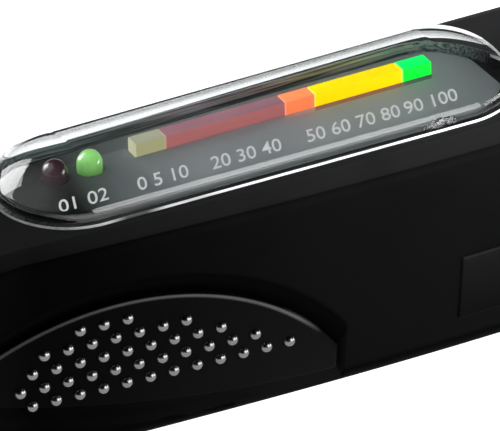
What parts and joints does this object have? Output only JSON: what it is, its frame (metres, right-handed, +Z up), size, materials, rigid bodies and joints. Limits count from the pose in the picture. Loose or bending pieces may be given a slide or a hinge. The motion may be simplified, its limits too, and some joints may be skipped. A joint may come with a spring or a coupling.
{
  "type": "diamond tester",
  "caption": "Pen-type diamond tester with a sprung probe, a domed clear window over a coloured light bar, studded leaf grips, a power button and a sliding battery door.",
  "frame": {"origin": "centre of the overall box, at the flat belly", "axes": "+X from the probe tip to the tail, +Z up out of the window, +Y to the far side in the picture"},
  "size_m": [0.175, 0.028, 0.036],
  "materials": {
    "housing_plastic": "fine spark-eroded moulding texture",
    "door_plastic": "fine moulding texture",
    "clear_plastic": "polished, clear",
    "panel_plastic": "smooth dark panel with pale printing",
    "pale_yellow_prism": "unlit translucent prism",
    "red_prism": "unlit translucent prism",
    "orange_prism": "lit translucent prism",
    "yellow_prism": "lit translucent prism",
    "green_prism": "lit translucent prism",
    "green_lamp": "lit moulded resin",
    "red_lamp": "unlit moulded resin",
    "lamp_chip": "small white lamp",
    "board_laminate": "green solder mask",
    "chip_resin": "moulded resin",
    "switch_resin": "moulded resin",
    "button_plastic": "smooth satin",
    "grip_rubber": "matt moulded elastomer",
    "stud_chrome": "polished",
    "collar_metal": "turned, satin",
    "barrel_plastic": "turned insulator",
    "probe_metal": "turned and polished copper alloy",
    "spring_steel": "drawn wire",
    "cell_case": "plain sleeve",
    "contact_metal": "stamped",
    "screw_steel": "cross-recessed, plated"
  },
  "bodies": {
    "housing": {"left_shell": "housing_plastic", "right_shell": "housing_plastic", "window_lens": "clear_plastic", "display_panel": "panel_plastic", "bar_pale_yellow": "pale_yellow_prism", "bar_red": "red_prism", "bar_orange": "orange_prism", "bar_yellow": "yellow_prism", "bar_green": "green_prism", "ready_lamp": "green_lamp", "low_battery_lamp": "red_lamp", "bar_lamps": "lamp_chip", "main_board": "board_laminate", "board_chips": "chip_resin", "buzzer": "chip_resin", "switch_body": "switch_resin", "left_grip": "grip_rubber", "right_grip": "grip_rubber", "left_studs": "stud_chrome", "right_studs": "stud_chrome", "nose_collar": "collar_metal", "probe_barrel": "barrel_plastic", "probe_spring": "spring_steel", "battery_cells": "cell_case", "cell_springs": "spring_steel", "cell_contacts": "contact_metal", "case_screws": "screw_steel"},
    "button": {"power_button": "button_plastic", "switch_plunger": "switch_resin"},
    "probe": {"probe_tip": "probe_metal"},
    "door": {"battery_door": "door_plastic"}
  },
  "joints": [
    {"name": "button_press", "type": "slide", "parent": "housing", "child": "button", "axis": [0, 0, -1], "range_m": [0, 0.0006], "stiffness_N_per_m": 800, "springref_m": -0.0012},
    {"name": "probe_press", "type": "slide", "parent": "housing", "child": "probe", "axis": [1, 0, 0], "range_m": [0, 0.0015], "stiffness_N_per_m": 400, "springref_m": -0.001, "deforming": ["probe_spring"]},
    {"name": "door_slide", "type": "slide", "parent": "housing", "child": "door", "axis": [1, 0, 0], "range_m": [0, 0.056]}
  ]
}
